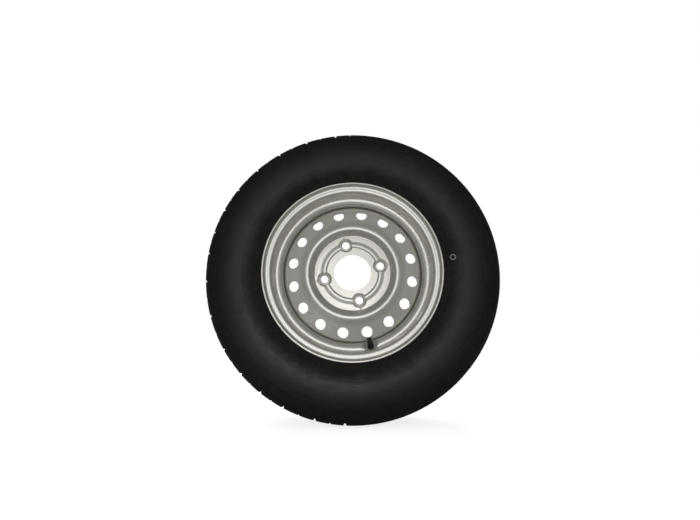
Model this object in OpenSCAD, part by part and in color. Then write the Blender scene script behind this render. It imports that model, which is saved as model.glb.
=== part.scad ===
// Pressed-steel wheel with a tubeless tyre and a snap-in valve.
// The origin is the wheel's centre, on the axle line and midway between the rim's flanges.
// The outer face of the wheel looks along -Y, and +Z is up.
// Every profile is a list of points [radius, place along the axle], and that place grows towards -Y.

/* [Rim] */
// Diameter of the bead seats
bead_d = 354.8; // [340:0.2:370]
// Width between the flanges
rim_w = 139.7; // [134:0.1:146]
// Thickness of the rim's sheet
rim_t = 2.8; // [2.2:0.1:3.4]
// Height of a flange above its bead seat
flange_h = 17.5; // [16.5:0.1:19]
// Radius of a flange's outward curl
flange_curl = 9.5; // [8.5:0.1:10]
// Radius between a flange and its bead seat
heel_round = 6.5; // [5:0.1:7]
// Width of a flange's lip past the flange's wall
flange_w = 13.6; // [13:0.1:15]
// Depth of the well below the bead seats
well_depth = 17.8; // [16:0.1:20]
// Place of the well's front corner along the axle
well_front = 28.1; // [26:0.1:30]
// Place of the well's back corner along the axle
well_back = -18; // [-22:0.5:-14]

/* [Wheel disc] */
// Thickness of the disc's sheet
disc_t = 4.6; // [3.6:0.1:5.4]
// Place of the face that meets the hub
hub_face = 25; // [20:0.5:30]
// Diameter of the centre bore
bore_d = 85; // [70:0.5:100]
// Diameter of the stud circle
stud_pcd = 130; // [126:0.5:132]
// Number of studs
stud_count = 4; // [3:1:5]
// Diameter of a stud hole
stud_d = 17; // [13:0.5:18]
// Diameter of a stud boss at its foot
boss_d = 32; // [28:0.5:34]
// Height of a stud boss above the nave
boss_h = 3; // [2:0.1:4]
// Width of the pressed ring that links the bosses
ring_w = 13; // [11:0.5:15]
// Height of that ring
ring_h = 2; // [1:0.1:2.5]
// Flat left between a boss and the nave's outer corner
nave_land = 6; // [4:0.5:8]
// Run from the nave's corner out to the crown's top
crown_run = 15; // [13:0.5:19]
// Height of the crown's corner above the nave
crown_h = 16.5; // [12:0.5:20]
// Slope of the vented band, from the wheel's plane
band_slope = 18; // [14:0.5:22]
// Depth of the disc's rim along the axle
disc_rim_h = 24; // [16:0.5:28]
// Number of vents
vent_count = 16; // [12:1:18]
// Diameter of a vent
vent_d = 24.5; // [18:0.5:26]
// Radius of the vent circle
vent_r = 136.5; // [132:0.5:139]
// Turn of the stud and vent pattern
pattern_turn = 13.7; // [0:0.1:22.5]
// Number of weld beads
weld_count = 8; // [4:1:12]
// Length of a weld bead, in degrees round the wheel
weld_sweep = 18; // [8:1:28]
// Leg of a weld bead
weld_leg = 3.6; // [2.5:0.1:5]

/* [Tyre] */
// Outer diameter
tyre_d = 643; // [620:1:665]
// Width across the sidewalls
tyre_w = 188; // [180:1:196]
// Width of the tread
tread_w = 136; // [128:1:142]
// Radius at the widest place
widest_r = 248; // [240:1:256]
// Rubber and cords under the tread, grooves included
tread_t = 17; // [15:0.5:20]
// Thickness of a sidewall
wall_t = 8; // [6:0.5:10]
// Radius of the tread's crown across the tyre
crown_round = 700; // [500:10:1000]
// Depth of the tread pattern
groove_depth = 8; // [4:0.5:9]
// Width of a groove round the tyre
groove_w = 7; // [4:0.5:9]
// Number of blocks on each shoulder
block_count = 32; // [24:2:40]
// Width of a shoulder slot at the tread
slot_w = 8.5; // [5:0.5:10]
// Depth of a shoulder slot
slot_depth = 7; // [4:0.5:9]

/* [Valve] */
// Place round the wheel, counted as the pattern is
valve_turn = -76.3; // [-80:0.1:-72]
// Place up the well's front wall, from the wall's middle
valve_up = 2; // [0:0.1:3]
// Diameter of the hole in the rim
valve_hole_d = 11.5; // [11.3:0.1:12]
// Diameter of the rubber collar outside the rim
collar_d = 15.2; // [14:0.1:17]
// Height of the rubber above the rim
rubber_h = 13.6; // [12:0.1:16]
// Depth of the rubber inside the rim
bulb_h = 10.5; // [9:0.5:12]
// Diameter of the stem's thread
stem_d = 7.75; // [7.5:0.05:8]
// Height of the stem's end above the rim
stem_h = 22.5; // [21:0.1:26]
// Diameter of the stem's bore above the core's seat
core_d = 5.3; // [5:0.1:5.6]
// Outer diameter of the cap
cap_d = 10; // [9.6:0.1:11]
// Thickness of the cap's top
cap_top = 2; // [1.6:0.1:3]
// Thickness of the seal in the cap
cap_seal_t = 0.6; // [0.4:0.1:1]
// Diameter of the core's pin
pin_d = 1.4; // [1:0.1:1.6]
// Diameter of the core spring's wire
spring_wire = 0.3; // [0.2:0.05:0.35]

/* [Clearances] */
// Between the tyre's beads and the rim
bead_gap = 0.1; // [0.05:0.05:0.3]
// Between the disc's rim and the well
disc_gap = 0.1; // [0.05:0.05:0.3]
// Round the valve's pieces where they stay put
seat_gap = 0.05; // [0.02:0.01:0.08]
// Round the valve's pieces that slide or turn
slide_gap = 0.08; // [0.04:0.01:0.1]
// Between pieces that stop short of each other
end_gap = 0.3; // [0.2:0.05:0.4]

/* [Hidden] */

$fn = 96;
arc_step = 12;
cut = 1;

// Helpers for points

function unit(v) = v / norm(v);
function left_of(v) = [-v[1], v[0]];
function reversed(path) = [for (i = [len(path) - 1:-1:0]) path[i]];
function flipped(path) = [for (p = reversed(path)) [p[0], -p[1]]];

// One corner [radius, place, rounding] of a path, turned into an arc that meets both its sides
function corner(a, b, c) =
    let(u = unit([a[0] - b[0], a[1] - b[1]]),
        v = unit([c[0] - b[0], c[1] - b[1]]),
        half = acos(u * v) / 2,
        p = [b[0], b[1]] + u * b[2] / tan(half),
        m = [b[0], b[1]] + unit(u + v) * b[2] / sin(half),
        q = [b[0], b[1]] + v * b[2] / tan(half),
        start = atan2(p[1] - m[1], p[0] - m[0]),
        sweep = (atan2(q[1] - m[1], q[0] - m[0]) - start + 540) % 360 - 180,
        steps = ceil(abs(sweep) / arc_step))
    [for (i = [0:steps]) m + b[2] * [cos(start + sweep * i / steps), sin(start + sweep * i / steps)]];

// A path of straight lines with its corners rounded
function rounded(corners) =
    [for (i = [0:len(corners) - 1])
        each corners[i][2] == 0 ? [[corners[i][0], corners[i][1]]]
            : corner(corners[i - 1], corners[i], corners[i + 1])];

// A path moved to its left by a distance, with its corners mitred
function moved(path, distance) =
    let(last = len(path) - 1)
    [for (i = [0:last])
        let(ahead = left_of(unit(path[min(i + 1, last)] - path[min(i, last - 1)])),
            behind = left_of(unit(path[max(i, 1)] - path[max(i, 1) - 1])),
            mitre = unit(ahead + behind))
        path[i] + mitre * distance / (mitre * ahead)];

// The outline of a sheet that lies to the left of a path
function sheet(path, thickness) = concat(path, reversed(moved(path, thickness)));

// A quarter of an ellipse about a centre, from the widest place to the tip
function quarter(centre, tall, wide, from, to) =
    [for (a = [from:(to - from) / 12:to]) centre + [tall * sin(a), wide * cos(a)]];

// Turns a profile about the axle
module turned() rotate([90, 0, 0]) rotate_extrude() children();

// Puts a thing at an angle round the wheel: X runs outwards and Z along the axle, to the front
module round_wheel(angle) rotate([90, 0, 0]) rotate([0, 0, angle]) children();

// Rim: the tyre's side of the sheet, from the front lip to the back lip

half_w = rim_w / 2;
bead_r = bead_d / 2;
flange_r = bead_r + flange_h;
well_r = bead_r - well_depth;
hump_in = 24.1;
seat_in = 19.3;
seat_drop = 1.5;
hump_drop = 0.2;
wall_rise = bead_r - hump_drop - well_r;
wall_front = half_w - hump_in;

function flange_side(side) = [
    [flange_r, side * (half_w + flange_w), 0],
    [flange_r, side * half_w, flange_curl],
    [bead_r, side * half_w, heel_round],
    [bead_r - seat_drop, side * (half_w - seat_in), 10],
    [bead_r - hump_drop, side * (half_w - hump_in), 4]];

ledge_back = well_back - 9;
rim_path = rounded(concat(flange_side(1),
    [[well_r, well_front, 8],
     [well_r, well_back, 8],
     [bead_r - 2.4, ledge_back, 7],
     [bead_r - 2, -(half_w - hump_in - 5), 10]],
    reversed(flange_side(-1))));

// Valve's seat: the middle of the well's front wall, on its bare side, and the wall's lean
wall_dir = unit([wall_rise, wall_front - well_front]);
wall_lean = atan2(wall_dir[0], wall_dir[1]);
valve_lean = 90 - atan2(wall_dir[1], wall_dir[0]);
valve_seat = [well_r + wall_rise / 2, (wall_front + well_front) / 2]
    + wall_dir * valve_up + left_of(wall_dir) * rim_t;

// Puts a thing on the valve's line: Z runs outwards from the rim's bare side
module on_valve()
    round_wheel(valve_turn)
        translate([valve_seat[0], 0, valve_seat[1]])
            rotate([0, -valve_lean, 0])
                children();

module rim() color([0.72, 0.71, 0.68])
    difference() {
        turned() polygon(sheet(rim_path, -rim_t));
        on_valve() translate([0, 0, -rim_t * 2.5]) cylinder(h = rim_t * 4, d = valve_hole_d);
    }

// Wheel disc: the front side of the sheet, from the bore to the back of its rim

nave_face = hub_face + disc_t;
disc_r = well_r - rim_t - disc_gap;
stud_r = stud_pcd / 2;
nave_r = stud_r + boss_d / 2 + nave_land;
crown_r = nave_r + crown_run;
crown_face = nave_face + crown_h;
band_face = crown_face - (disc_r - crown_r) * tan(band_slope);
disc_back = band_face - disc_rim_h;
ring_foot = 2;

disc_path = rounded([
    [bore_d / 2, nave_face, 0],
    [stud_r - ring_w / 2, nave_face, ring_foot],
    [stud_r - ring_w / 2 + 3, nave_face + ring_h, 5],
    [stud_r + ring_w / 2 - 3, nave_face + ring_h, 5],
    [stud_r + ring_w / 2, nave_face, ring_foot + 2],
    [nave_r, nave_face, 6],
    [crown_r, crown_face, 7],
    [disc_r, band_face, 9],
    [disc_r, disc_back, 0]]);

seat_half_angle = 30;
seat_h = 4.8;
boss_top = nave_face + boss_h;
seat_mouth_r = stud_d / 2 + seat_h * tan(seat_half_angle);
boss_top_r = seat_mouth_r + 1.2;
boss_hollow = 0.6;

module stud_boss()
    translate([stud_r, 0, 0]) {
        translate([0, 0, hub_face + boss_hollow]) cylinder(h = disc_t - boss_hollow, d = boss_d - 4);
        translate([0, 0, nave_face - 0.4]) cylinder(h = boss_h + 0.4, r1 = boss_d / 2, r2 = boss_top_r);
    }

module stud_hole()
    translate([stud_r, 0, 0]) {
        translate([0, 0, hub_face - cut]) cylinder(h = disc_t + boss_h + 2 * cut, d = stud_d);
        translate([0, 0, boss_top - seat_h])
            cylinder(h = seat_h * 2, r1 = stud_d / 2, r2 = stud_d / 2 + 2 * seat_h * tan(seat_half_angle));
    }

vent_face = crown_face - (vent_r - crown_r) * tan(band_slope);

module vent_hole()
    translate([vent_r, 0, vent_face])
        rotate([0, band_slope, 0])
            translate([0, 0, -disc_t * 2])
                cylinder(h = disc_t * 3, d = vent_d);

module wheel_disc() color([0.7, 0.69, 0.66])
    difference() {
        union() {
            turned() polygon(sheet(disc_path, -disc_t));
            for (i = [0:stud_count - 1]) round_wheel(pattern_turn + i * 360 / stud_count) stud_boss();
        }
        for (i = [0:stud_count - 1]) round_wheel(pattern_turn + i * 360 / stud_count) stud_hole();
        for (i = [0:vent_count - 1]) round_wheel(pattern_turn + i * 360 / vent_count) vent_hole();
    }

// Weld beads in the corner between the disc's back edge and the well

module disc_welds() color([0.45, 0.44, 0.42])
    for (i = [0:weld_count - 1])
        round_wheel(pattern_turn + (i + 0.5) * 360 / weld_count - weld_sweep / 2)
            rotate_extrude(angle = weld_sweep)
                polygon([[disc_r, disc_back], [disc_r, disc_back - weld_leg], [disc_r - weld_leg, disc_back]]);

// Tyre: the front half of the outer side, from the bead's toe to the middle of the tread

tyre_r = tyre_d / 2;
shoulder_s = tread_w / 2;
shoulder_r = tyre_r - pow(shoulder_s, 2) / (2 * crown_round);
widest_s = tyre_w / 2;
toe_s = half_w - seat_in + 1.5;
toe_r = bead_r - seat_drop + bead_gap + 0.3;
foot_s = half_w + flange_w - 1.2;
foot_r = flange_r + bead_gap;
low_tall = 52;
low_wide = 13;

bead_path = rounded([
    [toe_r, toe_s, 0],
    [bead_r + bead_gap, half_w - bead_gap, heel_round],
    [foot_r, half_w - bead_gap, flange_curl + bead_gap],
    [foot_r, foot_s, 1.5],
    [foot_r + 3, foot_s + 1, 0]]);

low_side = quarter([widest_r, widest_s - low_wide], low_tall, low_wide, -60, 0);
high_side = quarter([widest_r, shoulder_s], shoulder_r - widest_r, widest_s - shoulder_s, 7.5, 90);
tread_side = [for (s = [shoulder_s - 17:-17:17]) [tyre_r - pow(s, 2) / (2 * crown_round), s]];
outer_half = concat(bead_path, low_side, high_side, tread_side);

// The front half of the air's side, from the middle of the tread to the bead's toe
inner_r = tyre_r - tread_t;
inner_side = quarter([widest_r, shoulder_s - 8], inner_r - widest_r, widest_s - wall_t - shoulder_s + 8, 90, 0);
inner_low = rounded([
    [widest_r, widest_s - wall_t, 0],
    [flange_r + 12, widest_s - wall_t - 5, 30],
    [flange_r - 2, half_w - 6, 12],
    [toe_r + 3, toe_s - 1, 2],
    [toe_r, toe_s, 0]]);
inner_half = concat(inner_side, [for (i = [1:len(inner_low) - 2]) inner_low[i]]);

tyre_profile = concat(outer_half, [[tyre_r, 0]], flipped(outer_half), flipped(inner_half), inner_half);

groove_places = [-43, -15, 15, 43];
first_slot = 64;
slot_in = 24;

// The blocks have mixed lengths, which keeps the tyre quiet. The first slot's place is counted as the pattern is.
pitch_mix = [8, 9, 10, 10, 10, 9, 9, 8, 8, 7, 9, 11, 11, 9, 8, 8,
    10, 9, 9, 8, 8, 9, 8, 9, 10, 11, 10, 10, 9, 8, 8, 8];
function lengths_to(i) = i == 0 ? 0 : lengths_to(i - 1) + pitch_mix[(i - 1) % len(pitch_mix)];
round_length = lengths_to(block_count);
function slot_turn(i) = first_slot + lengths_to(i) * 360 / round_length;

// A slot across one shoulder, wider at the tread than at its floor
module shoulder_slot()
    translate([shoulder_r - slot_depth, 0, shoulder_s - slot_in])
        linear_extrude(height = widest_s - shoulder_s + slot_in)
            polygon([[0, -slot_w / 4], [slot_depth + 3, -slot_w / 2], [slot_depth + 3, slot_w / 2], [0, slot_w / 4]]);

module tyre() color([0.1, 0.1, 0.1])
    difference() {
        turned() polygon(tyre_profile);
        for (s = groove_places)
            turned() translate([tyre_r - groove_depth, s - groove_w / 2]) square([groove_depth + cut, groove_w]);
        for (i = [0:block_count - 1]) {
            round_wheel(slot_turn(i)) shoulder_slot();
            round_wheel((slot_turn(i) + slot_turn(i + 1)) / 2) mirror([0, 0, 1]) shoulder_slot();
        }
    }

// Valve: Z is the height above the rim's bare side

collar_r = collar_d / 2;
stem_r = stem_d / 2;
shank_r = stem_r - 0.8;
core_r = core_d / 2;
bore_low_r = core_r - 0.3;
hole_r = valve_hole_d / 2;
cap_r = cap_d / 2;
pin_r = pin_d / 2;

module spun() rotate_extrude($fn = 48) children();

// How far the wall's hollow side stands above its middle, at a distance from the valve's line
function bow(r) = pow(r, 2) / (2 * valve_seat[0]);

// Rubber, gripped by the edge of the rim's hole
module valve_body() color([0.07, 0.07, 0.07])
    on_valve() spun()
        polygon([
            [shank_r + seat_gap, -rim_t - bulb_h],
            [hole_r - 0.3, -rim_t - bulb_h],
            [hole_r + 0.8, -rim_t - bulb_h + 1],
            [hole_r + 4, -rim_t - 2.5],
            [hole_r + 4, -rim_t - seat_gap],
            [hole_r - seat_gap, -rim_t - seat_gap],
            [hole_r - seat_gap, bow(hole_r) + seat_gap],
            [collar_r, bow(collar_r) + seat_gap],
            [collar_r, 1.4],
            [collar_r - 0.8, 4],
            [collar_r - 1.6, rubber_h - 2],
            [collar_r - 2.1, rubber_h - 0.6],
            [collar_r - 2.7, rubber_h],
            [shank_r + seat_gap, rubber_h]]);

// Brass stem, moulded into the rubber
core_seat = stem_h - 8.5;
module valve_stem() color([0.8, 0.65, 0.35])
    on_valve() spun()
        polygon([
            [bore_low_r, -rim_t - bulb_h],
            [shank_r, -rim_t - bulb_h],
            [shank_r, rubber_h + seat_gap],
            [stem_r, rubber_h + 0.5],
            [stem_r, stem_h - 0.5],
            [stem_r - 0.4, stem_h],
            [core_r + 0.2, stem_h],
            [core_r, stem_h - 0.5],
            [core_r, core_seat],
            [bore_low_r, core_seat - 1.5]]);

// Core, from its top down
plug_top = stem_h - 1;
plug_end = plug_top - 5;
barrel_top = plug_end - seat_gap;
barrel_end = core_seat - 7.5;
gasket_end = core_seat - 1.4;
neck_r = core_r - 1;
barrel_r = bore_low_r - 0.3;
chamber_r = neck_r - 0.35;
pin_hole_r = pin_r + slide_gap;
collar_top = core_seat + 0.6;
collar_t = 0.5;
spring_floor = barrel_end + 0.8;

// Threaded plug that holds the core down, with two flats for its key
module valve_core_plug() color([0.8, 0.65, 0.35])
    on_valve() difference() {
        union() {
            translate([0, 0, plug_end]) cylinder(h = 3.4, r = core_r - seat_gap, $fn = 48);
            intersection() {
                translate([0, 0, plug_end]) cylinder(h = 5, r = core_r - seat_gap, $fn = 48);
                translate([-core_r, -core_r * 0.45, plug_end]) cube([core_d, core_r * 0.9, 5]);
            }
        }
        translate([0, 0, plug_end - cut]) cylinder(h = 5 + 2 * cut, r = pin_hole_r + 0.2, $fn = 48);
    }

// Barrel that the spring works in
module valve_core_barrel() color([0.78, 0.62, 0.33])
    on_valve() spun()
        polygon([
            [pin_hole_r, barrel_end],
            [barrel_r, barrel_end],
            [barrel_r, gasket_end - seat_gap],
            [neck_r, gasket_end - seat_gap],
            [neck_r, core_seat + 0.1],
            [core_r - 0.2, core_seat + 0.1],
            [core_r - 0.2, barrel_top],
            [chamber_r, barrel_top],
            [chamber_r, spring_floor],
            [pin_hole_r, spring_floor]]);

// Tapered ring that seals the barrel in the stem
module valve_core_gasket() color([0.85, 0.2, 0.15])
    on_valve() spun()
        polygon([
            [neck_r + seat_gap, gasket_end],
            [bore_low_r + 0.02, gasket_end],
            [core_r - seat_gap, core_seat + seat_gap],
            [neck_r + seat_gap, core_seat + seat_gap]]);

// Pin that opens the core when it is pressed, with a collar that the spring lifts
cup_top = barrel_end - seat_gap;
cup_h = 1.8;
module valve_core_pin() color([0.82, 0.7, 0.45])
    on_valve() spun()
        polygon([
            [0, cup_top - cup_h],
            [pin_r, cup_top - cup_h],
            [pin_r, collar_top - collar_t],
            [chamber_r - slide_gap, collar_top - collar_t],
            [chamber_r - slide_gap, collar_top],
            [pin_r, collar_top],
            [pin_r, stem_h - 0.3],
            [0, stem_h - 0.3]]);

// Cup at the pin's foot, and the rubber seal in it
module valve_core_cup() color([0.8, 0.65, 0.35])
    on_valve() spun()
        polygon([
            [pin_r, cup_top - cup_h + 0.2],
            [barrel_r, cup_top - cup_h + 0.2],
            [barrel_r, cup_top - 0.5],
            [barrel_r - 0.3, cup_top - 0.5],
            [barrel_r - 0.3, cup_top - 1],
            [pin_r, cup_top - 1]]);

module valve_core_seal() color([0.05, 0.05, 0.05])
    on_valve() spun()
        polygon([
            [pin_r, cup_top - 1],
            [barrel_r - 0.3 - seat_gap, cup_top - 1],
            [barrel_r - 0.3 - seat_gap, cup_top],
            [pin_r, cup_top]]);

// Spring under the pin's collar
spring_r = (pin_r + chamber_r) / 2;
spring_low = spring_floor + spring_wire / 2 + 0.02;
spring_high = collar_top - collar_t - spring_wire / 2 - 0.02;
spring_turns = 6;
spring_sides = 6;
turn_steps = 16;

module valve_core_spring() color([0.75, 0.75, 0.75])
    on_valve() {
        rings = spring_turns * turn_steps;
        points = [for (i = [0:rings], k = [0:spring_sides - 1])
            let(a = i * 360 / turn_steps,
                b = k * 360 / spring_sides,
                out = spring_r + spring_wire / 2 * cos(b),
                up = spring_low + (spring_high - spring_low) * i / rings + spring_wire / 2 * sin(b))
            [out * cos(a), out * sin(a), up]];
        sides = [for (i = [0:rings - 1], k = [0:spring_sides - 1])
            let(n = (k + 1) % spring_sides)
            [i * spring_sides + k, (i + 1) * spring_sides + k,
             (i + 1) * spring_sides + n, i * spring_sides + n]];
        first = [for (k = [0:spring_sides - 1]) k];
        last = [for (k = [spring_sides - 1:-1:0]) rings * spring_sides + k];
        polyhedron(points, concat([first], sides, [last]));
    }

// Cap, screwed on the stem, and the seal that it presses on the stem's end
cap_foot = rubber_h + 0.5 + end_gap;
seal_low = stem_h + slide_gap;
cap_roof = seal_low + cap_seal_t + seat_gap;
cap_end = cap_roof + cap_top;
cap_bore_r = stem_r + end_gap;
grip_count = 18;

module valve_cap() color([0.06, 0.06, 0.06])
    on_valve() difference() {
        spun() polygon([
            [0, cap_foot],
            [cap_r - 0.2, cap_foot],
            [cap_r, cap_foot + 0.4],
            [cap_r, cap_end - 1.6],
            [cap_r - 1, cap_end - 0.4],
            [cap_r - 2.4, cap_end],
            [0, cap_end]]);
        translate([0, 0, cap_foot - cut]) cylinder(h = cap_roof - cap_foot + cut, r = cap_bore_r);
        for (i = [0:grip_count - 1])
            rotate([0, 0, i * 360 / grip_count])
                translate([cap_r + 0.15, 0, cap_foot + 1])
                    cylinder(h = cap_end - cap_foot, d = 0.9, $fn = 16);
    }

module valve_cap_seal() color([0.12, 0.12, 0.12])
    on_valve() translate([0, 0, seal_low]) cylinder(h = cap_seal_t, r = cap_bore_r - end_gap);

tyre();
rim();
wheel_disc();
disc_welds();
valve_body();
valve_stem();
valve_core_plug();
valve_core_barrel();
valve_core_gasket();
valve_core_pin();
valve_core_cup();
valve_core_seal();
valve_core_spring();
valve_cap();
valve_cap_seal();
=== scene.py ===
import math

import bmesh
import bpy
from mathutils import Matrix, Vector


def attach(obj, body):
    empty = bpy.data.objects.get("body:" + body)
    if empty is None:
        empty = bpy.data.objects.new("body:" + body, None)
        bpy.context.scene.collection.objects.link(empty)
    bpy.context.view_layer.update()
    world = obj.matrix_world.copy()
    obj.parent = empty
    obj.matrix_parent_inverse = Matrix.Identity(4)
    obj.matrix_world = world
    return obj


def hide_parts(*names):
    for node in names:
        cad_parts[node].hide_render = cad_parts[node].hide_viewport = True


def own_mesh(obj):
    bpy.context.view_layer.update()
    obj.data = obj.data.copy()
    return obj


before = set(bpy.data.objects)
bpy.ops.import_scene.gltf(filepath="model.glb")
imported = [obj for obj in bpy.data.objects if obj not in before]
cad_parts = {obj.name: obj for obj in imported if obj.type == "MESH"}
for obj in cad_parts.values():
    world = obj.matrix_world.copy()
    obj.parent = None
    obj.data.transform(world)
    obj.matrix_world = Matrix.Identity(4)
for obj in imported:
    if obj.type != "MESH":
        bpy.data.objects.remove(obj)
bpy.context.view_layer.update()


# Rim
# One strip of steel rolled into a hoop, butt welded, and rolled again to its drop-centre section.
# Both lips are rounded, and the whole wheel is sprayed with a warm silver paint.

mm = 0.001
bead_r = 177.4
flange_r = bead_r + 17.5
half_w = 69.85
well_r = bead_r - 17.8
rim_t = 2.8
valve_hole_r = 5.75
pressed_full, pressed_reach = 9, 14.5

rim_front = [
    (flange_r, half_w + 13.6, 0),
    (flange_r, half_w, 9.5),
    (bead_r, half_w, 6.5),
    (bead_r - 1.5, half_w - 19.3, 10)]
rim_line = rim_front + [
    (bead_r - 0.2, 40.2, 3.2),
    (well_r + 9.4, 41.9, 10),
    (well_r + 1, 37.2, 5),
    (well_r, 26.5, 6),
    (well_r, -18, 8),
    (bead_r - 2.4, -27, 7),
    (bead_r - 2, 29.1 - half_w, 10),
    (bead_r - 0.2, 24.1 - half_w, 4)] + [(r, -s, turn) for r, s, turn in reversed(rim_front)]


def rounded_line(corners, closed=False, arc=7):
    """A line through corners, in millimetres: radius, place along the axle and rounding.
    Each rounding is made by spinning a point."""
    bm = bmesh.new()
    tip = first = None
    for i, (radius, place, rounding) in enumerate(corners):
        here = Vector((radius, -place, 0)) * mm
        point = bm.verts.new(here)
        if rounding:
            before, after = corners[i - 1], corners[(i + 1) % len(corners)]
            back = Vector((before[0] - radius, place - before[1], 0)).normalized()
            on = Vector((after[0] - radius, place - after[1], 0)).normalized()
            half = back.angle(on) / 2
            point.co = here + back * rounding * mm / math.tan(half)
            centre = here + (back + on).normalized() * rounding * mm / math.sin(half)
            turned = bmesh.ops.spin(bm,
                                    geom=[point],
                                    cent=centre, axis=on.cross(back).normalized(), angle=math.pi - 2 * half,
                                    steps=max(2, math.ceil(math.degrees(math.pi - 2 * half) / arc)))
        if tip:
            bm.edges.new((tip, point))
        first = first or point
        tip = turned["geom_last"][0] if rounding else point
    if closed:
        bm.edges.new((tip, first))
    return bm


def split_long_edges(line, longest):
    """Splits a line's edges to a length, in millimetres, that depends on the place."""
    for edge in line.edges[:]:
        spans = round(edge.calc_length() / mm / longest((edge.verts[0].co + edge.verts[1].co) / 2))
        if spans > 1:
            bmesh.ops.subdivide_edges(line, edges=[edge], cuts=spans - 1)


def eased(value, low, high):
    """0 below low, 1 above high, and a soft slope between them."""
    share = min(1, max(0, (value - low) / (high - low)))
    return share * share * (3 - 2 * share)


def turn_about_axle(bm, steps):
    """Spins a line once round the axle."""
    bmesh.ops.spin(bm, geom=bm.verts[:] + bm.edges[:], cent=(0, 0, 0), axis=(0, 1, 0),
                   angle=math.tau, steps=steps, use_merge=True)
    bmesh.ops.remove_doubles(bm, verts=bm.verts[:], dist=1e-6)
    bmesh.ops.recalc_face_normals(bm, faces=bm.faces[:])


def face_out(bm, outward):
    """Turns an open sheet over if its faces look away from a direction that depends on the place."""
    if sum(f.normal.dot(outward(f.calc_center_median())) * f.calc_area() for f in bm.faces) < 0:
        bmesh.ops.reverse_faces(bm, faces=bm.faces[:])


def piece_of(bm, name):
    mesh = bpy.data.meshes.new(name)
    bm.to_mesh(mesh)
    bm.free()
    piece = bpy.data.objects.new(name, mesh)
    bpy.context.scene.collection.objects.link(piece)
    return piece


def settle(piece, sharp=35):
    """Applies a piece's modifiers and shades it smooth up to an angle."""
    made = bpy.data.meshes.new_from_object(piece.evaluated_get(bpy.context.evaluated_depsgraph_get()))
    made.name = piece.name
    piece.modifiers.clear()
    piece.data = made
    for face in made.polygons:
        face.use_smooth = True
    made.set_sharp_from_angle(angle=math.radians(sharp))
    return piece


def cut_away(piece, tool):
    """Cuts a closed tool out of a closed piece, and drops the tool."""
    cut = piece.modifiers.new("cut", "BOOLEAN")
    cut.solver = "MANIFOLD"
    cut.object = tool
    cut.operation = "DIFFERENCE"
    settle(piece)
    bpy.data.objects.remove(tool)


def sheet_wall(piece, thickness, edge):
    """Gives a sheet its thickness behind its faces, and takes the sharpness off its edges."""
    wall = piece.modifiers.new("wall", "SOLIDIFY")
    wall.thickness = thickness * mm
    wall.offset = -1
    wall.use_even_offset = True
    soft = piece.modifiers.new("edges", "BEVEL")
    soft.width = edge * mm
    soft.segments = 3
    soft.limit_method = "ANGLE"
    soft.angle_limit = math.radians(60)
    settle(piece)


# The valve stands square on the slope between the bead seat and the well, near its middle
valve_turn = math.radians(-76.3)
wall_top, wall_foot = Vector((bead_r - 0.2, half_w - 24.1)), Vector((well_r, 28.1))
wall_dir = (wall_top - wall_foot).normalized()
seat_r, seat_s = (wall_top + wall_foot) / 2 + wall_dir * 2 + Vector((-wall_dir.y, wall_dir.x)) * rim_t
round_wheel = Matrix.Rotation(-valve_turn, 4, "Y")
lean = Vector((-wall_dir.y, -wall_dir.x, 0))
valve_side = Vector((wall_dir.x, -wall_dir.y, 0))
valve_place = round_wheel @ Matrix.Translation(Vector((seat_r, -seat_s, 0)) * mm) @ Matrix((
    (valve_side.x, 0, lean.x, 0),
    (valve_side.y, 0, lean.y, 0),
    (0, 1, 0, 0),
    (0, 0, 0, 1)))

# The edges are short where the shoulder is reshaped
line = rounded_line(rim_line)
split_long_edges(line, lambda p: 2.2 if 0.158 < p.x < 0.18 and -0.046 < p.y < -0.025 else 8)
turn_about_axle(line, 256)
face_out(line, lambda p: Vector((p.x, 0, p.z)))

# The shoulder is pressed flat where the valve stands
to_valve = valve_place.inverted()
for v in line.verts:
    here = to_valve @ v.co
    far = math.hypot(here.x, 0.8 * here.y) / mm
    if far < pressed_reach and abs(here.z) < 10 * mm:
        here.z += (-rim_t * mm - here.z) * (1 - eased(far, pressed_full, pressed_reach))
        v.co = valve_place @ here
rim = piece_of(line, "rim_sheet")
sheet_wall(rim, rim_t, 0.9)

drill = bmesh.new()
bmesh.ops.create_cone(drill, cap_ends=True, segments=48, radius1=valve_hole_r * mm,
                      radius2=valve_hole_r * mm, depth=14 * mm, matrix=valve_place)
cut_away(rim, piece_of(drill, "valve_drill"))
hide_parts("rim")
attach(rim, "wheel")


def put(tree, kind, values=None, **settings):
    """Adds a shader node, sets it up, and fills or links its inputs."""
    node = tree.nodes.new(kind)
    for name, value in settings.items():
        setattr(node, name, value)
    for name, value in (values or {}).items():
        if isinstance(value, bpy.types.NodeSocket):
            tree.links.new(value, node.inputs[name])
        else:
            node.inputs[name].default_value = value
    return node


def calc(tree, operation, *values):
    """The result of a maths node."""
    return put(tree, "ShaderNodeMath", dict(enumerate(values)), operation=operation).outputs["Value"]


def finish_named(name):
    """An empty node material and its node tree."""
    material = bpy.data.materials.new(name)
    material.use_nodes = True
    material.node_tree.nodes.clear()
    return material, material.node_tree


def wear(piece, material):
    """Gives a piece its one finish."""
    piece.data.materials.clear()
    piece.data.materials.append(material)


def shader_group(name, inputs, outputs):
    """A node group for several finishes, with its input and output nodes."""
    group = bpy.data.node_groups.new(name, "ShaderNodeTree")
    for label, kind, value in inputs:
        socket = group.interface.new_socket(label, in_out="INPUT", socket_type=kind)
        if value is not None:
            socket.default_value = value
    for label, kind in outputs:
        group.interface.new_socket(label, in_out="OUTPUT", socket_type=kind)
    return group, group.nodes.new("NodeGroupInput"), group.nodes.new("NodeGroupOutput")


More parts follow.
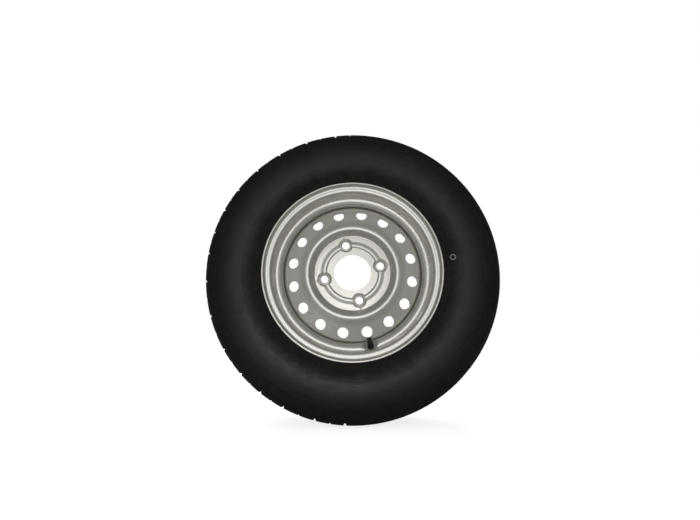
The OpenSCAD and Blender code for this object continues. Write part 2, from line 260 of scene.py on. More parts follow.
# Sprayed surfaces have a fine orange peel with small nibs of dust in it
peel, peel_in, peel_out = shader_group(
    "orange_peel", [("Vector", "NodeSocketVector", None), ("Nibs", "NodeSocketFloat", 0.5)],
    [("Height", "NodeSocketFloat"), ("Specks", "NodeSocketFloat")])
ripple = put(peel, "ShaderNodeTexNoise",
             {"Vector": peel_in.outputs["Vector"], "Scale": 420, "Detail": 2, "Roughness": 0.5})
cells = put(peel, "ShaderNodeTexVoronoi", {"Vector": peel_in.outputs["Vector"], "Scale": 300})
nib = put(peel, "ShaderNodeMapRange", {"Value": cells.outputs["Distance"], "From Min": 0.05,
                                       "From Max": 0.16, "To Min": 1, "To Max": 0})
patch = put(peel, "ShaderNodeTexNoise", {"Vector": peel_in.outputs["Vector"], "Scale": 26, "Detail": 3})
where = put(peel, "ShaderNodeMapRange", {"Value": patch.outputs["Fac"], "From Min": 0.56, "From Max": 0.7})
some = calc(peel, "MULTIPLY", nib.outputs["Result"], where.outputs["Result"])
specks = calc(peel, "MULTIPLY", some, peel_in.outputs["Nibs"])
height = calc(peel, "ADD", specks, ripple.outputs["Fac"])
peel.links.new(height, peel_out.inputs["Height"])
peel.links.new(specks, peel_out.inputs["Specks"])

# Scuffs: long light rubs that cross in two directions, only inside a soft ball about a place. On the tyre
# the ball sits on the lower left of the sidewall, where more light falls, so there they are painted sheen.
rub_patch_and_sheen, scuff_in, scuff_out = shader_group("rub_patches_and_painted_sheen",
                                          [("Vector",
                                            "NodeSocketVector",
                                            None),
                                           ("Place",
                                            "NodeSocketVector", None), ("Reach", "NodeSocketFloat", 0.05)],
                                          [("Mask", "NodeSocketFloat")])
away = put(rub_patch_and_sheen, "ShaderNodeVectorMath", {0: scuff_in.outputs["Vector"], 1: scuff_in.outputs["Place"]},
           operation="DISTANCE")
near = calc(rub_patch_and_sheen, "DIVIDE", away.outputs["Value"], scuff_in.outputs["Reach"])
ball = put(rub_patch_and_sheen, "ShaderNodeMapRange",
           {"Value": near, "From Min": 0.4, "From Max": 1, "To Min": 1, "To Max": 0})
long_way = put(rub_patch_and_sheen, "ShaderNodeMapping",
               {"Vector": scuff_in.outputs["Vector"], "Rotation": (0, 0.6, 0), "Scale": (1, 1, 7)})
rubs = put(rub_patch_and_sheen, "ShaderNodeTexNoise",
           {"Vector": long_way.outputs["Vector"], "Scale": 75, "Detail": 5, "Roughness": 0.7})
rubbed = put(rub_patch_and_sheen, "ShaderNodeMapRange",
             {"Value": rubs.outputs["Fac"], "From Min": 0.47, "From Max": 0.72})
mask = calc(rub_patch_and_sheen, "MULTIPLY", rubbed.outputs["Result"], ball.outputs["Result"])
rub_patch_and_sheen.links.new(mask, scuff_out.inputs["Mask"])


def silver_paint(name, nibs, rub_place, rub_reach):
    """Silver paint with fine flakes under it, slightly warm, a little uneven and lightly soiled."""
    material, tree = finish_named(name)
    at = put(tree, "ShaderNodeTexCoord").outputs["Object"]
    grain = put(tree, "ShaderNodeGroup", node_tree=peel)
    tree.links.new(at, grain.inputs["Vector"])
    grain.inputs["Nibs"].default_value = nibs
    rubs = put(tree, "ShaderNodeGroup", node_tree=rub_patch_and_sheen)
    tree.links.new(at, rubs.inputs["Vector"])
    rubs.inputs["Place"].default_value = rub_place
    rubs.inputs["Reach"].default_value = rub_reach
    cloud = put(tree, "ShaderNodeTexNoise", {"Vector": at, "Scale": 9, "Detail": 4})
    base = put(tree, "ShaderNodeMix", {"Factor": cloud.outputs["Fac"], "A": (0.66, 0.645, 0.6, 1),
                                       "B": (0.56, 0.545, 0.5, 1)}, data_type="RGBA")
    light = calc(tree, "MAXIMUM", rubs.outputs["Mask"], grain.outputs["Specks"])
    colour = put(tree, "ShaderNodeMix", {"Factor": light, "A": base.outputs["Result"],
                                         "B": (0.86, 0.85, 0.82, 1)}, data_type="RGBA")
    rough = put(tree, "ShaderNodeMapRange", {"Value": cloud.outputs["Fac"], "To Min": 0.34, "To Max": 0.44})
    metal = put(tree, "ShaderNodeMapRange", {"Value": light, "To Min": 0.8, "To Max": 0.3})
    bump = put(tree, "ShaderNodeBump",
               {"Height": grain.outputs["Height"], "Strength": 0.12, "Distance": 0.0004})
    paint = put(tree, "ShaderNodeBsdfPrincipled", {
        "Base Color": colour.outputs["Result"], "Metallic": metal.outputs["Result"],
        "Roughness": rough.outputs["Result"], "Normal": bump.outputs["Normal"]})
    put(tree, "ShaderNodeOutputMaterial", {"Surface": paint.outputs["BSDF"]})
    return material


wear(rim, silver_paint("rim_paint_finish", 0.9, (0.2, -0.04, 0.02), 0.06))


# Wheel disc
# One pressed steel dish: a flat nave that bolts to the hub, a ring pressed into it that links the
# four stud bosses, a high crown, and a sloping band with sixteen vents. Its rim is welded in the well.

disc_t = 4.6
nave_face = 29.6
disc_r = well_r - rim_t - 0.1
band_face = 28.3
bend_r, bend_face = 118.5, 39
band_slope = math.atan((bend_face - band_face) / (disc_r - bend_r))
disc_back = band_face - 24
stud_r, stud_hole_r, seat_depth, seat_slope = 65, 8.7, 4.8, 0.577
boss_height, boss_top_r, boss_foot_r = 3, 12.2, 16.6
vent_r, vent_hole_r = 136.5, 12.25
pattern_turn = math.radians(13.7)
stud_turns = [pattern_turn + i * math.tau / 4 for i in range(4)]
vent_turns = [pattern_turn + i * math.tau / 16 for i in range(16)]

line = rounded_line([
    (42.5, nave_face, 0),
    (57.6, nave_face, 2),
    (61, nave_face + 2, 3),
    (65, nave_face + 2, 6),
    (72.2, nave_face, 2),
    (80, nave_face, 12),
    (84.8, nave_face - 0.25, 3),
    (86.6, nave_face + 0.2, 2.5),
    (96.6, 43.4, 8),
    (103.2, 44.9, 12),
    (bend_r, bend_face, 40),
    (disc_r, band_face, 9),
    (disc_r, disc_back, 0)])
split_long_edges(line, lambda p: 1.3 if p.x < 0.09 else 4)
turn_about_axle(line, 360)
face_out(line, lambda p: Vector((0, -1, 0)) if p.xz.length < 0.15 else Vector((p.x, 0, p.z)))

# Each stud boss is a flat-topped cone, with a soft valley outside it
for turn in stud_turns:
    stud = Vector((math.cos(turn), 0, math.sin(turn))) * stud_r * mm
    out = stud.normalized()
    side = Vector((-out.z, 0, out.x))
    for v in line.verts:
        from_stud = Vector((v.co.x, 0, v.co.z)) - stud
        if from_stud.length < 24 * mm:
            far = from_stud.length / mm
            top = nave_face + boss_height * (1 - eased(far, boss_top_r, boss_foot_r))
            v.co.y = min(v.co.y, -top * mm)
            along, across = from_stud.dot(out) / mm, abs(from_stud.dot(side)) / mm
            if along > 14.5:
                v.co.y += 0.7 * mm * (1 - eased(across, 0.6, 2.2)) * (1 - eased(abs(along - 18), 2.5, 4.5))

disc = piece_of(line, "disc_pressing")
sheet_wall(disc, disc_t, 0.6)


def join_into(bm, part):
    """Adds one bmesh to another."""
    made = bpy.data.meshes.new("part")
    part.to_mesh(made)
    part.free()
    bm.from_mesh(made)
    bpy.data.meshes.remove(made)


def spun(corners, steps, place, closed=False, arc=7):
    """A shape turned about the Z axis of a place, from corners (radius, height, rounding)."""
    bm = rounded_line(corners, closed, arc)
    bmesh.ops.rotate(bm, verts=bm.verts[:], cent=(0, 0, 0), matrix=Matrix.Rotation(-math.pi / 2, 3, "X"))
    bmesh.ops.spin(bm, geom=bm.verts[:] + bm.edges[:], cent=(0, 0, 0), axis=(0, 0, 1),
                   angle=math.tau, steps=steps, use_merge=True)
    bmesh.ops.remove_doubles(bm, verts=bm.verts[:], dist=1e-6)
    bmesh.ops.recalc_face_normals(bm, faces=bm.faces[:])
    bmesh.ops.transform(bm, verts=bm.verts[:], matrix=place)
    return bm


def round_hole(bm, radius, flare, seat, place):
    """A punch that leaves a hole with rolled edges. Its Z axis is the hole's, from back to front."""
    low = disc_t + flare + 0.2
    if seat:
        mouth = [(0, 0.2 + seat, 0), (radius + seat * seat_slope, 0.2 + seat, 0), (radius, 0.2, 0.6)]
    else:
        mouth = [(0, 0.4, 0), (radius + flare + 0.4, 0.4, 0), (radius + flare, 0, 0),
                 (radius, -flare, flare * 0.8)]
    foot = [(radius, -low, flare * 0.8), (radius + flare + 1, -low - flare - 1, 0),
            (0, -low - flare - 1, 0)]
    join_into(bm, spun(mouth + foot, 40, place))


def on_disc(turn, radius, place, tilt=0):
    """A place on the disc's front, whose Z axis comes out of the metal."""
    return (Matrix.Rotation(-turn, 4, "Y") @ Matrix.Translation(Vector((radius, -place, 0)) * mm)
            @ Matrix.Rotation(tilt, 4, "Z") @ Matrix.Rotation(math.pi / 2, 4, "X"))


punches = bmesh.new()
vent_face = bend_face - (vent_r - bend_r) * math.tan(band_slope)
for turn in vent_turns:
    round_hole(punches, vent_hole_r, 0.9, 0, on_disc(turn, vent_r, vent_face, band_slope))
seat_face = nave_face + boss_height - seat_depth - 0.2
for turn in stud_turns:
    round_hole(punches, stud_hole_r, 0.8, seat_depth, on_disc(turn, stud_r, seat_face))
cut_away(disc, piece_of(punches, "disc_punches"))
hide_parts("wheel_disc")
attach(disc, "wheel")
wear(disc, silver_paint("disc_paint_finish", 0.35, (-0.07, -0.035, -0.105), 0.055))


# Disc welds
# Eight arc-welded beads in the corner between the disc's back edge and the rim's well.
# Each was laid in small overlapping ripples and painted over with the rest.

weld_leg, weld_count, weld_span = 3.6, 8, 18
welds = bmesh.new()
for i in range(weld_count):
    bead = rounded_line([
        (disc_r, disc_back, 0),
        (disc_r, disc_back - weld_leg, 0),
        (disc_r - weld_leg * 0.62, disc_back - weld_leg * 0.62, 3),
        (disc_r - weld_leg, disc_back, 0)], closed=True, arc=20)
    start = pattern_turn + (i + 0.5) * math.tau / weld_count - math.radians(weld_span / 2)
    bmesh.ops.rotate(bead, verts=bead.verts[:], cent=(0, 0, 0), matrix=Matrix.Rotation(-start, 3, "Y"))
    face = bmesh.ops.contextual_create(bead, geom=bead.edges[:])["faces"]
    bmesh.ops.spin(bead, geom=face, cent=(0, 0, 0), axis=(0, -1, 0), angle=math.radians(weld_span),
                   steps=72)
    bmesh.ops.remove_doubles(bead, verts=bead.verts[:], dist=1e-7)
    bmesh.ops.recalc_face_normals(bead, faces=bead.faces[:])
    corner = Vector((disc_r - 0.2, -disc_back - 0.2)) * mm
    for v in bead.verts:
        flat = Vector((v.co.xz.length, v.co.y))
        way = math.degrees((math.atan2(v.co.z, v.co.x) - start) % math.tau)
        ends = math.sqrt(max(0, 1 - ((way - weld_span / 2) / 9.2) ** 2)) ** 0.5
        if (flat - corner).length > 1.5 * mm:
            swell = ends * (0.97 + 0.05 * math.cos(way * math.tau / 1.1)) - 1
            v.co.y += (flat.y - corner.y) * swell
            more = 1 + (flat.x - corner.x) * swell / flat.x
            v.co.x *= more
            v.co.z *= more
    join_into(welds, bead)
welds = settle(piece_of(welds, "weld_beads"), 50)
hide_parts("disc_welds")
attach(welds, "wheel")
wear(welds, silver_paint("weld_paint_finish", 1.0, (0, 0, 0), 0.001))


# Tyre
# A radial tyre moulded in one piece over its cords and bead wires, in black rubber. Four zigzag grooves
# part its ribs, V-shaped slots and fine sipes cut its shoulders, and low rings run round the sidewalls.

tyre_r, tread_half, widest_r, widest_s = 321.5, 68, 248, 94
tread_bow = 1400
shoulder_r = tyre_r - tread_half ** 2 / tread_bow
groove_width, groove_floor, sipe_floor = 7, tyre_r - 8, tyre_r - 6
slot_floor, notch_floor = shoulder_r - 9.3, shoulder_r - 6.2
bead_bulge = 52

# The shoulder blocks have mixed lengths, which keeps the tyre quiet
block_lengths = [8, 9, 10, 10, 10, 9, 9, 8, 8, 7, 9, 11, 11, 9, 8, 8,
                 10, 9, 9, 8, 8, 9, 8, 9, 10, 11, 10, 10, 9, 8, 8, 8]
slot_turns = [math.radians(64)]
for length in block_lengths + block_lengths[:1]:
    slot_turns.append(slot_turns[-1] + length * math.tau / sum(block_lengths))


def shoulder_blocks():
    """The side, the first slot's turn and the turn to the next one, for each block of both shoulders."""
    for turn, after, later in zip(slot_turns, slot_turns[1:], slot_turns[2:]):
        yield 1, turn, after - turn
        yield -1, (turn + after) / 2, (later - turn) / 2


def side_point(radius, proud=0):
    """A place on the front sidewall, in millimetres, standing proud of it."""
    if radius > widest_r:
        angle = math.asin(min(1, (radius - widest_r) / (shoulder_r - widest_r)))
        tall, wide, base = shoulder_r - widest_r, widest_s - tread_half, tread_half
    else:
        angle = math.asin((radius - widest_r) / bead_bulge)
        tall, wide, base = bead_bulge, 13, widest_s - 13
    out = Vector((math.sin(angle) / tall, math.cos(angle) / wide)).normalized() * proud
    return (radius + out.x, base + wide * math.cos(angle) + out.y, 0)


# Each ring on the sidewall: its radius, its width, and how proud it stands
side_rings = [(207.6, 1.6, 0.5), (212.2, 1.2, 0.35), (232, 0.8, 0.3), (274.5, 0.8, 0.35),
              (286.5, 1.4, 0.45), (294.2, 1, 0.5), (297.8, 1, 0.5), (301.4, 1, 0.5), (305.5, 2.2, 0.8)]
side = [side_point(r) for r in range(205, 317, 3)
        if all(abs(r - at) > wide for at, wide, proud in side_rings)]
side += [side_point(shoulder_r - drop) for drop in (0.7, 0.15, 0)]
for at, wide, proud in side_rings:
    side += [side_point(at - wide / 2 - 0.25), side_point(at - wide / 2, proud),
             side_point(at + wide / 2, proud), side_point(at + wide / 2 + 0.25)]
side.sort()
foot = [
    (176.3, half_w - 17.8, 1),
    (bead_r + 0.1, half_w - 0.1, 6.5),
    (flange_r + 0.1, half_w - 0.1, 9.6),
    (flange_r + 0.1, half_w + 12.4, 1.2),
    (flange_r + 3.1, half_w + 13.4, 2)]
tread = [(tyre_r - s * s / tread_bow, s, 0) for s in range(60, 0, -6)]
front_half = foot + side + tread
inside = [
    (179.3, half_w - 18.8, 2),
    (flange_r - 2, half_w - 6, 12),
    (flange_r + 12, widest_s - 13, 30)]
inside += [(widest_r + 56.5 * math.sin(math.radians(a)), 60 + 26 * math.cos(math.radians(a)), 0)
           for a in range(0, 90, 9)]
section = front_half + [(tyre_r, 0, 0)] + [(r, -s, turn) for r, s, turn in reversed(front_half)]
section += [(r, -s, turn) for r, s, turn in inside] + [(r, s, turn) for r, s, turn in reversed(inside)]

line = rounded_line(section, closed=True)
turn_about_axle(line, 224)
tyre = piece_of(line, "tyre_moulding")


def groove_ring(bm, place, width, floor, swing, steps=256):
    """A closed ring with sloping walls, bent into a zigzag round the wheel."""
    ring = rounded_line([
        (tyre_r + 3, place - width / 2 - 0.6, 0),
        (tyre_r + 3, place + width / 2 + 0.6, 0),
        (floor, place + width / 2 - 1, 0.8),
        (floor, place - width / 2 + 1, 0.8)], closed=True, arc=30)
    turn_about_axle(ring, steps)
    for v in ring.verts:
        step = round(math.atan2(v.co.z, v.co.x) / math.tau * steps) % 8
        v.co.y += swing * mm * (1 - abs(step - 4) / 2)
    join_into(bm, ring)


def cross_cut(bm, turn, low, places, widths, skew=0, lean=0):
    """A wedge across the tread between two places, as wide as given at its floor and at its top.
    Skew turns it across the tread, and lean shifts its floor."""
    top = tyre_r + 3
    wheel = Matrix.Rotation(-turn, 4, "Y")
    for v in bmesh.ops.create_cube(bm, size=1)["verts"]:
        end = places[0] if v.co.y < 0 else places[1]
        wide = widths[1] if v.co.x > 0 else widths[0]
        shift = skew * (v.co.y > 0) + lean * (v.co.x < 0)
        v.co = wheel @ (Vector((top if v.co.x > 0 else low, -end, v.co.z * wide + shift)) * mm)
    bmesh.ops.recalc_face_normals(bm, faces=bm.faces[-6:])


rings = bmesh.new()
for place, swing in ((-43, 1.2), (-15, -1.6), (15, 1.6), (43, -1.2)):
    groove_ring(rings, place, groove_width, groove_floor, swing)
cut_away(tyre, piece_of(rings, "groove_rings"))

slots = bmesh.new()
for side_of, turn, block in shoulder_blocks():
    cross_cut(slots, turn, slot_floor, (side_of * 44, side_of * 96), (2.6, 9.4), side_of * -2, -1.9)
    cross_cut(slots, turn + 0.5 * block, notch_floor, (side_of * 51, side_of * 90), (1.8, 5.6),
              side_of * -2, -0.8)
cut_away(tyre, piece_of(slots, "shoulder_slots"))

sipes = bmesh.new()
for side_of, turn, block in shoulder_blocks():
    for share in (0.17, 0.335, 0.665, 0.83):
        cross_cut(sipes, turn + share * block, sipe_floor, (side_of * 49.5, side_of * 80), (0.7, 0.7),
                  side_of * -2.5)
    for share in (0.12, 0.45, 0.78):
        cross_cut(sipes, turn + share * block, sipe_floor, (side_of * 21.5, side_of * 37), (0.8, 0.8),
                  side_of * 5)
    if side_of > 0:
        for share in (0.05, 0.38, 0.71):
            cross_cut(sipes, turn + share * block, sipe_floor, (-9.5, 9.5), (0.8, 0.8), 4)
cut_away(tyre, piece_of(sipes, "sipes"))
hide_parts("tyre")
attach(tyre, "wheel")


def rubber_look(name, colour, low_rough, high_rough, graininess):
    """Moulded rubber: a fine grain, and a skin that is duller in some places than in others."""
    material, tree = finish_named(name)
    at = put(tree, "ShaderNodeTexCoord").outputs["Object"]
    grain = put(tree, "ShaderNodeTexNoise", {"Vector": at, "Scale": graininess, "Detail": 3})
    cloud = put(tree, "ShaderNodeTexNoise",
                {"Vector": at, "Scale": graininess / 60, "Detail": 4, "Roughness": 0.65})
    base = put(tree, "ShaderNodeMix", {"Factor": cloud.outputs["Fac"], "A": colour + (1,),
                                       "B": tuple(c * 1.5 for c in colour) + (1,)}, data_type="RGBA")
    rough = put(tree, "ShaderNodeMapRange", {"Value": cloud.outputs["Fac"], "From Min": 0.3,
                                             "From Max": 0.7, "To Min": low_rough, "To Max": high_rough})
    bump = put(tree, "ShaderNodeBump",
               {"Height": grain.outputs["Fac"], "Strength": 0.25, "Distance": 0.0003})
    rubber = put(tree, "ShaderNodeBsdfPrincipled", {
        "Base Color": base.outputs["Result"], "Roughness": rough.outputs["Result"],
        "Normal": bump.outputs["Normal"]})
    put(tree, "ShaderNodeOutputMaterial", {"Surface": rubber.outputs["BSDF"]})
    return material, tree, at, base, rough, bump, rubber


material, tree, at, base, rough, bump, rubber = rubber_look(
    "tyre_rubber_finish", (0.0042, 0.0042, 0.0038), 0.36, 0.48, 900)
rubber.inputs["Specular IOR Level"].default_value = 0.42
apart = put(tree, "ShaderNodeSeparateXYZ", {"Vector": at})
flat = put(tree, "ShaderNodeCombineXYZ", {"X": apart.outputs["X"], "Z": apart.outputs["Z"]})
radius = put(tree, "ShaderNodeVectorMath", {0: flat.outputs["Vector"]}, operation="LENGTH")
turn = calc(tree, "ARCTAN2", apart.outputs["Z"], apart.outputs["X"])

# Fine ribs across the shoulder, all the way round
many = calc(tree, "MULTIPLY", turn, 264)
wave = calc(tree, "SINE", many)
high = put(tree, "ShaderNodeMapRange",
           {"Value": radius.outputs["Value"], "From Min": 0.3062, "From Max": 0.3075})
under = put(tree, "ShaderNodeMapRange", {"Value": radius.outputs["Value"], "From Min": 0.3172,
                                         "From Max": 0.3182, "To Min": 1, "To Max": 0})
ribs = calc(tree, "MULTIPLY", wave, high.outputs["Result"])
ribbed = calc(tree, "MULTIPLY", ribs, under.outputs["Result"])

# Faint turned rings from the mould, and the long scratches of kerbs and handling
turned = put(tree, "ShaderNodeTexNoise", {"W": radius.outputs["Value"], "Scale": 420, "Detail": 3},
             noise_dimensions="1D")
drawn = put(tree, "ShaderNodeMapping", {"Vector": at, "Rotation": (0, 0.9, 0), "Scale": (9, 1, 1)})
scratch = put(tree, "ShaderNodeTexNoise",
              {"Vector": drawn.outputs["Vector"], "Scale": 60, "Detail": 4, "Roughness": 0.7})
scratched = put(tree, "ShaderNodeMapRange",
                {"Value": scratch.outputs["Fac"], "From Min": 0.62, "From Max": 0.72})
relief = calc(tree, "MULTIPLY_ADD", ribbed, 1.1, turned.outputs["Fac"])
ring_bump = put(tree, "ShaderNodeBump", {"Height": relief, "Strength": 0.35, "Distance": 0.0006,
                                         "Normal": bump.outputs["Normal"]})
tree.links.new(ring_bump.outputs["Normal"], rubber.inputs["Normal"])

# The tread and the shoulder are duller and a little dusty, and one small ring is painted on the sidewall. A
# lighter patch of rubs on the lower left of the sidewall is painted sheen, where more light falls.
worn = put(tree, "ShaderNodeMapRange",
           {"Value": radius.outputs["Value"], "From Min": 0.254, "From Max": 0.288, "To Max": 0.46})
dull = put(tree, "ShaderNodeMapRange", {
    "Value": radius.outputs["Value"], "From Min": 0.21, "From Max": 0.244, "To Min": 0.42, "To Max": 0},
    interpolation_type="SMOOTHSTEP")
either = calc(tree, "ADD", worn.outputs["Result"], dull.outputs["Result"])
smooth = calc(tree, "ADD", rough.outputs["Result"], either)
blotch = put(tree, "ShaderNodeTexNoise", {"Vector": at, "Scale": 70, "Detail": 5, "Roughness": 0.75})
uneven = put(tree, "ShaderNodeMapRange", {"Value": blotch.outputs["Fac"], "From Min": 0.3, "From Max": 0.7,
                                          "To Min": -0.09, "To Max": 0.09})
matt = calc(tree, "ADD", smooth, uneven.outputs["Result"])
tree.links.new(matt, rubber.inputs["Roughness"])
dust = put(tree, "ShaderNodeTexNoise", {"Vector": at, "Scale": 34, "Detail": 6, "Roughness": 0.7})
dusty = put(tree, "ShaderNodeMapRange",
            {"Value": dust.outputs["Fac"], "From Min": 0.5, "From Max": 0.75, "To Max": 0.07})
# Painted sheen: these rubs lighten the lower left of the sidewall in place of the light that falls there;
# the dust and the scratches are real
rubs = put(tree, "ShaderNodeGroup", {"Vector": at, "Place": (-0.165, -0.088, -0.165), "Reach": 0.11},
           node_tree=rub_patch_and_sheen)
scratches_and_painted_sheen = calc(tree, "MULTIPLY_ADD", rubs.outputs["Mask"], 0.5, scratched.outputs["Result"])
dust_scratches_and_painted_sheen = calc(tree, "MULTIPLY_ADD", scratches_and_painted_sheen, 0.3, dusty.outputs["Result"])
# The rubber greys by its dust, its scratches and the painted sheen patch
soiled_with_painted_sheen = put(tree, "ShaderNodeMix", {"Factor": dust_scratches_and_painted_sheen, "A": base.outputs["Result"],
                                     "B": (0.05, 0.049, 0.047, 1)}, data_type="RGBA")
from_mark = put(tree, "ShaderNodeVectorMath", {0: at, 1: (0.2137, -0.091, 0.0234)}, operation="DISTANCE")
off_line = calc(tree, "SUBTRACT", from_mark.outputs["Value"], 0.0052)
how_far = calc(tree, "ABSOLUTE", off_line)
painted = put(tree, "ShaderNodeMapRange", {"Value": how_far, "From Min": 0.0009, "From Max": 0.0014,
                                           "To Min": 0.75, "To Max": 0})
final = put(tree, "ShaderNodeMix", {"Factor": painted.outputs["Result"], "A": soiled_with_painted_sheen.outputs["Result"],
                                    "B": (0.42, 0.41, 0.4, 1)}, data_type="RGBA")
tree.links.new(final.outputs["Result"], rubber.inputs["Base Color"])
wear(tyre, material)


# Valve body
# A snap-in rubber body, moulded round the stem's brass shank. It is pulled through its hole in the rim
# until the groove over its bulb holds it there, and a collar covers the hole's edge outside.

body_line = [
    (3.12, -13.3, 0),
    (5.45, -13.3, 0.4),
    (6.55, -12.3, 0.8),
    (9.75, -5.3, 0.8),
    (9.75, -2.85, 0.5),
    (5.7, -2.85, 0),
    (5.7, 0.15, 0),
    (7.6, 0.23, 0.3),
    (7.6, 1.4, 0.9),
    (6.8, 4, 4),
    (6, 11.6, 3),
    (5.5, 13, 0.8),
    (4.9, 13.6, 0.4),
    (3.12, 13.6, 0)]
valve = settle(piece_of(spun(body_line, 64, valve_place, closed=True), "valve_rubber"), 50)
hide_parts("valve_body")
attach(valve, "wheel")
wear(valve, rubber_look("valve_rubber_finish", (0.01, 0.01, 0.01), 0.42, 0.55, 2500)[0])


# Valve stem
# A brass tube with a rough shank that the rubber grips, and a fine thread outside for the cap.

pitch, thread_r = 0.794, 3.875
stem_line = [(3.075, 13.65, 0), (thread_r, 14.1, 0)]
stem_line += [(thread_r, 14.1 + i * pitch / 8, 0) for i in range(1, 78)]
stem_line += [(thread_r, 22, 0), (3.475, 22.5, 0), (2.85, 22.5, 0), (2.65, 22, 0), (2.65, 14, 0),
              (2.35, 12.5, 0), (2.35, -13.3, 0), (3.075, -13.3, 0)]
stem = spun(stem_line, 48, Matrix(), closed=True)
for v in stem.verts:
    if v.co.xy.length > 3.7 * mm and v.co.z > 14.2 * mm:
        turns = v.co.z / mm / pitch - math.atan2(v.co.y, v.co.x) / math.tau
        deep = abs(turns % 1 - 0.5) * 2
        shrink = 1 - 0.45 * eased(deep, 0.15, 0.9) * eased(v.co.z / mm, 14.2, 14.9) / thread_r
        v.co.x *= shrink
        v.co.y *= shrink
bmesh.ops.transform(stem, verts=stem.verts[:], matrix=valve_place)
stem = settle(piece_of(stem, "stem_tube"), 30)
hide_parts("valve_stem")
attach(stem, "wheel")


def metal_look(name, colour, roughness, tarnish):
    """Turned metal with faint tool marks and a little tarnish."""
    material, tree = finish_named(name)
    at = put(tree, "ShaderNodeTexCoord").outputs["Object"]
    cloud = put(tree, "ShaderNodeTexNoise", {"Vector": at, "Scale": 500, "Detail": 4})
    base = put(tree, "ShaderNodeMix",
               {"Factor": cloud.outputs["Fac"], "A": colour + (1,), "B": tarnish + (1,)}, data_type="RGBA")
    rough = put(tree, "ShaderNodeMapRange",
                {"Value": cloud.outputs["Fac"], "To Min": roughness - 0.08, "To Max": roughness + 0.15})
    tool_marks = put(tree, "ShaderNodeTexNoise", {"Vector": at, "Scale": 6000, "Detail": 2})
    bump = put(tree, "ShaderNodeBump",
               {"Height": tool_marks.outputs["Fac"], "Strength": 0.15, "Distance": 0.00005})
    metal = put(tree, "ShaderNodeBsdfPrincipled", {
        "Base Color": base.outputs["Result"], "Metallic": 1.0, "Roughness": rough.outputs["Result"],
        "Normal": bump.outputs["Normal"]})
    put(tree, "ShaderNodeOutputMaterial", {"Surface": metal.outputs["BSDF"]})
    return material


wear(stem, metal_look("brass_finish", (0.72, 0.52, 0.25), 0.3, (0.5, 0.36, 0.18)))


# Valve core
# A threaded plug holds a small brass barrel down on its seat. A pin with a cup and a seal at its foot runs
# through both, and a coil spring draws the seal up against the barrel's end.


def finish_node(name, material):
    """Gives a CAD node its finish through its object's own slots."""
    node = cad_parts[name]
    for place in node.material_slots:
        place.link = "OBJECT"
        place.material = material


core_finish = metal_look("core_brass_finish", (0.78, 0.6, 0.3), 0.26, (0.6, 0.44, 0.22))
for name in ("valve_core_plug", "valve_core_barrel", "valve_core_pin", "valve_core_cup"):
    finish_node(name, core_finish)
finish_node("valve_core_gasket", rubber_look("gasket_finish", (0.45, 0.04, 0.03), 0.4, 0.5, 5000)[0])
finish_node("valve_core_seal", rubber_look("core_seal_finish", (0.014, 0.014, 0.014), 0.5, 0.62, 5000)[0])


# Valve core spring
# The coil stands on the barrel's floor. In the valve it shortens as the pin goes in; here it is a copy of
# the packed coil, with a mesh of its own, at its packed length.

packed_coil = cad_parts["valve_core_spring"]
coil = bpy.data.objects.new("core_coil", packed_coil.data.copy())
bpy.context.scene.collection.objects.link(coil)
coil.matrix_world = packed_coil.matrix_world
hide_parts("valve_core_spring")
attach(coil, "wheel")
wear(coil, metal_look("spring_finish", (0.62, 0.62, 0.6), 0.28, (0.42, 0.42, 0.42)))
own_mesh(coil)


# Valve cap
# A ribbed black plastic cap that screws down the stem's thread, with a thin rubber washer under its roof.

finish_node("valve_cap", rubber_look("cap_finish", (0.013, 0.013, 0.014), 0.3, 0.42, 3000)[0])
finish_node("valve_cap_seal", rubber_look("cap_seal_finish", (0.02, 0.02, 0.02), 0.5, 0.6, 5000)[0])


# Studio
# A pale floor under the wheel, a white room behind it, one large soft lamp behind the camera, a weak one
# above the wheel, and one that lights its back.

ground = -0.3216
sheet = bmesh.new()
bmesh.ops.create_grid(sheet, x_segments=1, y_segments=1, size=6, matrix=Matrix.Translation((0, 0, ground)))
floor = piece_of(sheet, "floor")
material, tree = finish_named("floor_finish")
seen = put(tree, "ShaderNodeLightPath")
pale = put(tree, "ShaderNodeBsdfDiffuse", {"Color": (0.86, 0.86, 0.86, 1)})
lift = calc(tree, "MULTIPLY", seen.outputs["Is Camera Ray"], 0.8)
glow = put(tree, "ShaderNodeEmission", {"Color": (1, 1, 1, 1), "Strength": lift})
both = put(tree, "ShaderNodeAddShader", {0: pale.outputs["BSDF"], 1: glow.outputs["Emission"]})
put(tree, "ShaderNodeOutputMaterial", {"Surface": both.outputs["Shader"]})
wear(floor, material)

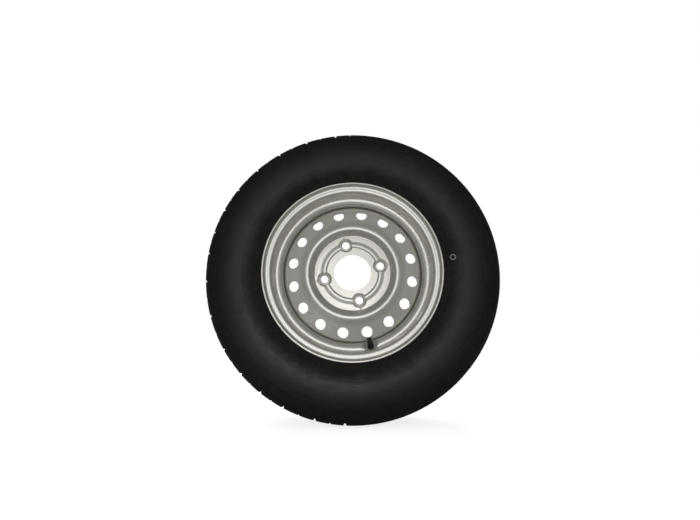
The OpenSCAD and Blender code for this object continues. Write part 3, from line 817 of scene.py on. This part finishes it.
world = bpy.data.worlds.new("room")
bpy.context.scene.world = world
world.use_nodes = True
tree = world.node_tree
tree.nodes.clear()
seen = put(tree, "ShaderNodeLightPath")
toward = put(tree, "ShaderNodeSeparateXYZ",
             {"Vector": put(tree, "ShaderNodeTexCoord").outputs["Generated"]})
along = put(tree, "ShaderNodeMapRange", {"Value": toward.outputs["Y"], "From Min": -1})
mirrored = put(tree, "ShaderNodeValToRGB", {"Fac": along.outputs["Result"]})
stops = mirrored.color_ramp.elements
stops[0].position, stops[0].color = 0.03, (0.95, 0.95, 0.95, 1)
stops[1].position, stops[1].color = 1, (0.35, 0.35, 0.35, 1)
for position, grey in ((0.11, 0.4), (0.3, 0.16), (0.5, 0.04), (0.62, 0.04), (0.8, 0.2)):
    stops.new(position).color = (grey, grey, grey, 1)
shiny = put(tree, "ShaderNodeMapRange",
            {"Value": seen.outputs["Is Glossy Ray"], "To Min": 0.24, "To Max": mirrored.outputs["Color"]})
direct = calc(tree, "MAXIMUM", seen.outputs["Is Camera Ray"], seen.outputs["Is Transmission Ray"])
level = calc(tree, "MAXIMUM", direct, shiny.outputs["Result"])
air = put(tree, "ShaderNodeBackground", {"Color": (1, 1, 1, 1), "Strength": level})
put(tree, "ShaderNodeOutputWorld", {"Surface": air.outputs["Background"]})


def soft_lamp(name, place, size, power):
    """A round area lamp that points at the wheel's centre."""
    lamp = bpy.data.lights.new(name, "AREA")
    lamp.shape = "DISK"
    lamp.size = size
    lamp.energy = power
    holder = bpy.data.objects.new(name, lamp)
    bpy.context.scene.collection.objects.link(holder)
    holder.location = place
    holder.rotation_euler = (-Vector(place)).to_track_quat("-Z", "Y").to_euler()
    holder.visible_camera = False


soft_lamp("front_lamp", (-0.08, -1.35, -0.05), 0.62, 2.9)
soft_lamp("top_lamp", (0, -0.1, 1.8), 1.6, 1.5)
soft_lamp("back_lamp", (-0.7, 1.9, 0.9), 1.4, 16)

# The camera stands low in front of the wheel and looks slightly up
camera = bpy.data.cameras.new("camera")
camera.sensor_width = 36
camera.lens = 19.7126
camera.clip_start = 0.02
viewer = bpy.data.objects.new("camera", camera)
bpy.context.scene.collection.objects.link(viewer)
viewer.matrix_world = Matrix((
    (0.99993955, 0, 0.01099535, 0.0040965),
    (0.010775, -0.1991969, -0.97990025, -0.8888903),
    (0.00219024, 0.97995949, -0.19918486, -0.1452477),
    (0, 0, 0, 1)))
bpy.context.scene.camera = viewer
bpy.context.scene.view_settings.view_transform = "Standard"
